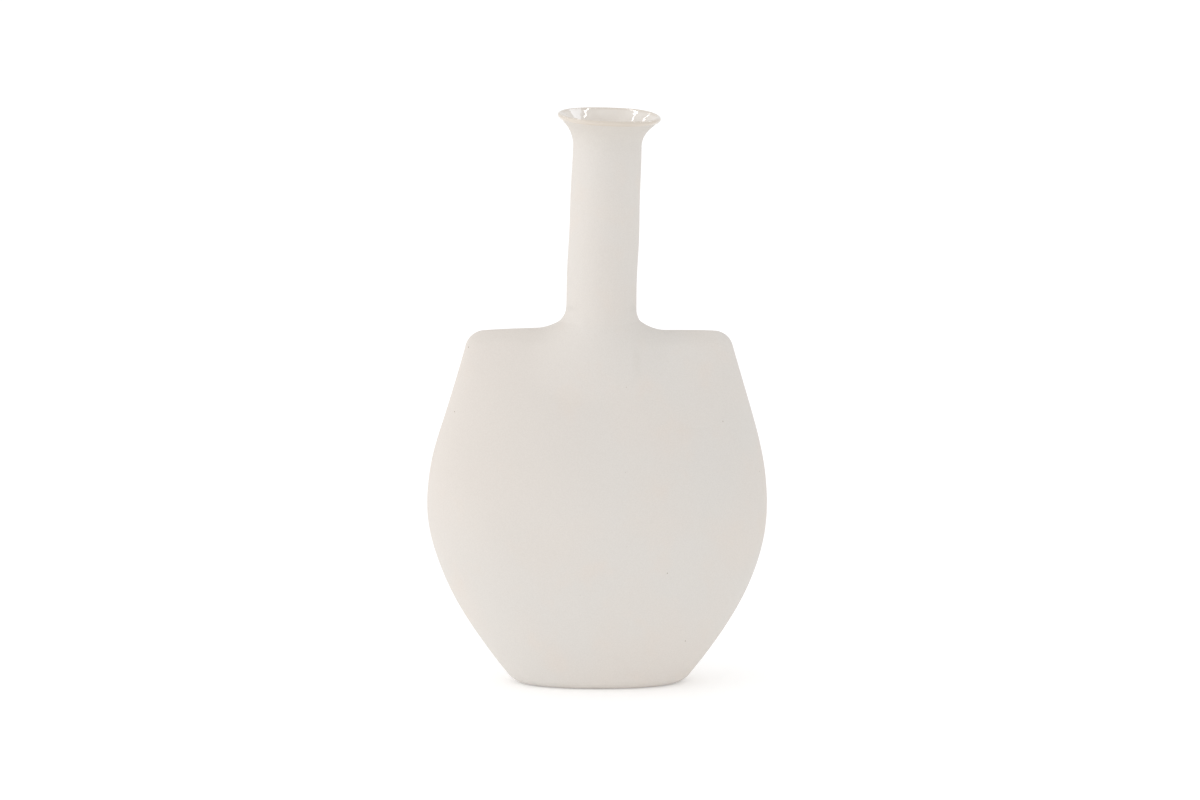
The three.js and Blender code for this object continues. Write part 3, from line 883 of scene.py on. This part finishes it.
def lip_curves(shape):
    """The lip's flare, rounded edge and throat, each as points and the way out of the clay there."""
    neck, body = shape.neck, shape.body
    root = shape.neck_radius(LIP_BASE)
    reach = neck.lip_width / 2 - root
    turn = neck.flare_bend * math.atan(reach / neck.flare_height)
    sweep = (neck.flare_height * math.tan(turn) - reach) / (1 / math.cos(turn) - 1)
    half = neck.lip_edge / 2
    flare, _ = arc((root + sweep - half, LIP_BASE), sweep - half, math.pi, math.pi - turn, FLARE_ROWS)
    edge, edge_out = arc((neck.lip_width / 2 - half, LIP_BASE + neck.flare_height), half,
                         -turn, math.pi - turn, EDGE_ROWS)
    slant = np.linspace(flare[-1], edge[0], SLANT_ROWS + 1)[1:-1]
    brim, bore = edge[-1], root - body.wall
    drop = min((brim[0] - bore) / math.tan(turn), neck.throat_drop * neck.flare_height)
    corner, end = np.array([bore, brim[1] - drop]), np.array([bore, LIP_BASE])
    t = np.linspace(0, 1, THROAT_ROWS + 1)[:, None]
    throat = (1 - t) ** 2 * brim + 2 * t * (1 - t) * corner + t**2 * end
    along = 2 * (1 - t) * (corner - brim) + 2 * t * (end - corner)
    throat_out = np.stack([along[:, 1], -along[:, 0]], axis=-1)
    throat_out /= np.linalg.norm(throat_out, axis=-1, keepdims=True)
    return np.concatenate([flare, slant]), (edge, edge_out), (throat, throat_out)


def lip_profile(shape):
    """Out along the flare, round the edge, back down the throat and round the spigot."""
    flare, (edge, _), (throat, _) = lip_curves(shape)
    wall, gap = shape.body.wall, shape.body.joint_gap
    spigot = shape.neck_radius(LIP_BASE) - wall / 2 - gap / 2
    return [
        *flare, *edge, *throat[1:],
        (shape.neck_radius(LIP_SPIGOT_FOOT) - wall, LIP_SPIGOT_FOOT),
        (spigot, LIP_SPIGOT_FOOT), (spigot, LIP_BASE),
    ]


def glaze_profile(shape):
    """The glaze's glossy face, from just under the lip's edge, over it and down to its foot in the bore,
    and back along the clay. The coat is thin on the edge and ends in a soft bead. Returns the points and
    how thin the coat is at each."""
    flare, (edge, edge_out), (throat, throat_out) = lip_curves(shape)
    wall, neck = shape.body.wall, shape.neck
    heights = np.linspace(LIP_BASE, GLAZE_FOOT, NECK_ROWS + 1)[1:]
    bore = np.array([(shape.neck_radius(z) - wall, z) for z in heights])
    rolled = flare[-ROLLED_ROWS:]
    clay = np.concatenate([rolled, edge, throat[1:], bore])
    out = np.concatenate([np.tile(edge_out[0], (len(rolled), 1)), edge_out, throat_out[1:],
                          np.tile([-1.0, 0.0], (len(bore), 1))])
    run = np.concatenate([[0], np.cumsum(np.linalg.norm(np.diff(clay, axis=0), axis=-1))])
    inward = run - run[len(rolled) + EDGE_ROWS // 2]
    pooling = smoothstep(inward, 0, neck.flare_height / 2)
    thick = neck.glaze_thinnest + (neck.glaze - neck.glaze_thinnest) * pooling
    left = np.minimum(run, run[-1] - run)
    bead = np.sqrt(np.clip(1 - (1 - np.clip(left / thick, 0, 1)) ** 2, 0, 1))
    face = clay + out * (thick * bead)[:, None]
    sunk = 0.05 * MM
    back = (clay - out * sunk)[::-1]
    thin = 1 - smoothstep(inward, 0, 2 * neck.lip_edge)
    return np.concatenate([face, back]), np.concatenate([thin, thin[::-1]])


# ---- iron specks


def speck_tree():
    """Strews flat grains over a wall: the marks given as points, and strays at random."""
    tree, given = new_tree("Iron specks", {
        "Clay": "Object", "Stray Density": "Float", "Seed": "Int", "Smallest": "Float", "Largest": "Float",
        "Flatness": "Float", "Highest": "Float", "Material": "Material",
    })
    clay = add(tree, "GeometryNodeObjectInfo", {"Object": given["Clay"]}).outputs["Geometry"]
    skin = add(tree, "FunctionNodeCompare", {0: point_place(tree)["Z"], 1: given["Highest"]},
               data_type="FLOAT", operation="LESS_THAN").outputs[0]
    strays = add(tree, "GeometryNodeDistributePointsOnFaces", {
        "Mesh": clay, "Selection": skin, "Density": given["Stray Density"], "Seed": given["Seed"],
    })
    # On this node a float's sockets are inputs 2 and 3, and output 1
    size = add(tree, "FunctionNodeRandomValue", {
        2: given["Smallest"], 3: given["Largest"], "Seed": given["Seed"],
    }, data_type="FLOAT").outputs[1]
    sized = add(tree, "GeometryNodeStoreNamedAttribute",
                {"Geometry": strays.outputs["Points"], "Name": "speck_radius", "Value": size},
                data_type="FLOAT", domain="POINT")
    marks = add(tree, "GeometryNodeMeshToPoints", {"Mesh": given["Geometry"]})
    both = add(tree, "GeometryNodeJoinGeometry")
    tree.links.new(marks.outputs["Points"], both.inputs["Geometry"])
    tree.links.new(sized.outputs["Geometry"], both.inputs["Geometry"])
    nearest, facing = (
        add(tree, "GeometryNodeSampleNearestSurface", {"Mesh": clay, "Value": add(tree, kind).outputs[0]},
            data_type="FLOAT_VECTOR").outputs["Value"]
        for kind in ("GeometryNodeInputPosition", "GeometryNodeInputNormal"))
    on_clay = add(tree, "GeometryNodeSetPosition",
                  {"Geometry": both.outputs["Geometry"], "Position": nearest})
    turn = add(tree, "FunctionNodeAlignRotationToVector", {"Vector": facing}, axis="Z")
    grain = add(tree, "GeometryNodeMeshIcoSphere", {"Radius": 1.0, "Subdivisions": 2}).outputs["Mesh"]
    radius = add(tree, "GeometryNodeInputNamedAttribute", {"Name": "speck_radius"},
                 data_type="FLOAT").outputs["Attribute"]
    scale = add(tree, "ShaderNodeCombineXYZ", {
        "X": radius, "Y": product(tree, radius, 0.8), "Z": product(tree, radius, given["Flatness"]),
    })
    strewn = add(tree, "GeometryNodeInstanceOnPoints", {
        "Points": on_clay.outputs["Geometry"], "Instance": grain, "Rotation": turn.outputs["Rotation"],
        "Scale": scale.outputs[0],
    })
    return finish_tree(tree, strewn.outputs["Instances"], given["Material"])


def speck_marks(name, marks):
    """The listed marks as loose points on the front of the body, with their radii."""
    shape = ClayShape(bpy.context.scene)
    power = shape.body.squareness
    points = []
    for x, z in (np.array(mark[:2]) * MM for mark in marks):
        inward = min(abs(x) / shape.half_width(z), 1.0)
        points.append((x, -shape.half_depth(z) * (1 - inward**power) ** (1 / power), z))
    piece = mesh_object(name, points)
    radii = piece.data.attributes.new("speck_radius", "FLOAT", "POINT")
    radii.data.foreach_set("value", [r * MM for _, _, r in marks])
    return piece


def iron_specks(name, wall, marks, count):
    hand = bpy.context.scene.vase_handwork
    clay = bpy.data.objects[wall]
    area = sum(face.area for face in clay.data.polygons)
    piece = speck_marks(name, marks)
    tree = bpy.data.node_groups.get("Iron specks") or speck_tree()
    run_tree(piece, tree, {
        "Clay": clay, "Stray Density": count / area, "Seed": hand.seed, "Smallest": hand.speck_smallest,
        "Largest": hand.speck_largest, "Flatness": 0.25, "Highest": COLLAR_TOP,
        "Material": finish_named("iron_speck"),
    })
    piece.data.shade_smooth()
    check_closed(piece)
    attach(piece, BODY)
    return piece


# ---- stage


def softbox(name, place, aim, size, power, tint="#ffffff", only_in_gloss=False):
    """A square soft light at a place, facing a point. Some only show as reflections in the glaze."""
    lamp = bpy.data.lights.new(name, "AREA")
    lamp.shape = "RECTANGLE"
    lamp.size, lamp.size_y = size
    lamp.energy = power
    lamp.color = linear(tint)
    holder = in_scene(name, lamp)
    turn_to(holder, place, aim)
    holder.visible_camera = False
    holder.visible_diffuse = not only_in_gloss


def turn_to(holder, place, aim):
    """Puts a light or a camera at a place, facing a point."""
    holder.location = place
    holder.rotation_euler = (Vector(aim) - Vector(place)).to_track_quat("-Z", "Y").to_euler()


def studio_air(strength):
    """Even white light from all round."""
    world = bpy.data.worlds.new("studio_air")
    world.use_nodes = True
    tree = world.node_tree
    tree.nodes.clear()
    # Both ends of the ramp are equal.
    low, high = -0.6, 0.1
    way = add(tree, "ShaderNodeTexCoord").outputs["Generated"]
    up = add(tree, "ShaderNodeSeparateXYZ", {"Vector": way}).outputs["Z"]
    power = ramp(tree, up, low, high, strength, strength)
    back = add(tree, "ShaderNodeBackground", {"Color": (1, 1, 1, 1), "Strength": power})
    add(tree, "ShaderNodeOutputWorld", {"Surface": back.outputs["Background"]})
    bpy.context.scene.world = world


def studio_camera():
    """Eye above the lip, in line with the middle of the vase, on a long lens."""
    lens = bpy.data.cameras.new("studio_camera")
    lens.sensor_fit = "HORIZONTAL"
    lens.sensor_width = 36.0
    lens.lens = 206.1
    camera = in_scene("studio_camera", lens)
    turn_to(camera, CAMERA_PLACE, CAMERA_AIM)
    bpy.context.scene.camera = camera


def studio():
    half = 6.0
    corners = [(-half, -half, 0), (half, -half, 0), (half, half, 0), (-half, half, 0)]
    floor = mesh_object("studio_floor", corners, [(0, 1, 2, 3)], ["studio_paper"])
    studio_air(AIR_STRENGTH)
    softbox("left_softbox", (-1.5, -0.25, 0.5), (0, 0, 0.12), (1.3, 1.2), 5.2)
    for name, place, size, power, tint in GLOSS_LIGHTS:
        softbox(name, place, MOUTH, size, power, tint, only_in_gloss=True)
    studio_camera()
    bpy.context.scene.view_settings.view_transform = "Standard"


# ---- operators


class VASE_OT_body_walls(bpy.types.Operator):
    """Make the front and back walls of the body"""

    bl_idname = "vase.body_walls"
    bl_label = "Body Walls"

    def execute(self, context):
        for piece, node in zip(wall_halves(), ("back_wall", "front_wall")):
            finish_piece(piece, node)
        return {"FINISHED"}


class VASE_OT_foot(bpy.types.Operator):
    """Make the base slab that plugs the body from below"""

    bl_idname = "vase.foot"
    bl_label = "Foot"

    def execute(self, context):
        finish_piece(foot_slab(), "foot")
        return {"FINISHED"}


class VASE_OT_neck(bpy.types.Operator):
    """Make the leaning neck tube"""

    bl_idname = "vase.neck"
    bl_label = "Neck"

    def execute(self, context):
        profile = neck_profile(ClayShape(context.scene))
        finish_piece(turned_piece("neck_clay", profile, "matte_bisque"), "neck")
        return {"FINISHED"}


class VASE_OT_lip(bpy.types.Operator):
    """Make the flared lip ring"""

    bl_idname = "vase.lip"
    bl_label = "Lip"

    def execute(self, context):
        profile = lip_profile(ClayShape(context.scene))
        finish_piece(turned_piece("lip_clay", profile, "matte_bisque"), "lip")
        return {"FINISHED"}


class VASE_OT_glaze(bpy.types.Operator):
    """Coat the bore and the mouth with gloss glaze"""

    bl_idname = "vase.glaze"
    bl_label = "Glaze"

    def execute(self, context):
        profile, thin = glaze_profile(ClayShape(context.scene))
        piece = turned_piece("glaze_coat", profile, "clear_gloss_glaze", thin)
        finish_piece(piece, "glaze_liner")
        return {"FINISHED"}


class VASE_OT_iron_specks(bpy.types.Operator):
    """Strew iron specks over the body"""

    bl_idname = "vase.iron_specks"
    bl_label = "Iron Specks"

    def execute(self, context):
        count = context.scene.vase_handwork.speck_count
        iron_specks("front_iron_specks", "front_wall_clay", IRON_MARKS, count / 2)
        iron_specks("back_iron_specks", "back_wall_clay", [], count)
        return {"FINISHED"}


class VASE_OT_studio(bpy.types.Operator):
    """Set up the floor, the lights and the camera"""

    bl_idname = "vase.studio"
    bl_label = "Studio"

    def execute(self, context):
        studio()
        return {"FINISHED"}


OPERATORS = [
    VASE_OT_body_walls,
    VASE_OT_foot,
    VASE_OT_neck,
    VASE_OT_lip,
    VASE_OT_glaze,
    VASE_OT_iron_specks,
    VASE_OT_studio,
]


class VASE_PT_sidebar(bpy.types.Panel):
    """Sizes, finishes and the steps that build the vase"""

    bl_idname = "VASE_PT_sidebar"
    bl_label = "Bud Vase"
    bl_space_type = "VIEW_3D"
    bl_region_type = "UI"
    bl_category = "Bud Vase"

    def draw(self, context):
        for group, kind in SETTINGS.items():
            box = self.layout.box()
            for name in kind.__annotations__:
                box.prop(getattr(context.scene, group), name)
        for operator in OPERATORS:
            self.layout.operator(operator.bl_idname)


CLASSES = [*SETTINGS.values(), *OPERATORS, VASE_PT_sidebar]


def register():
    for kind in CLASSES:
        bpy.utils.register_class(kind)
    for group, kind in SETTINGS.items():
        setattr(bpy.types.Scene, group, PointerProperty(type=kind))


def unregister():
    for group in SETTINGS:
        delattr(bpy.types.Scene, group)
    for kind in reversed(CLASSES):
        bpy.utils.unregister_class(kind)


def main():
    register()
    bpy.ops.vase.body_walls()
    bpy.ops.vase.foot()
    bpy.ops.vase.neck()
    bpy.ops.vase.lip()
    bpy.ops.vase.glaze()
    bpy.ops.vase.iron_specks()
    bpy.ops.vase.studio()


if __name__ == "__main__":
    main()
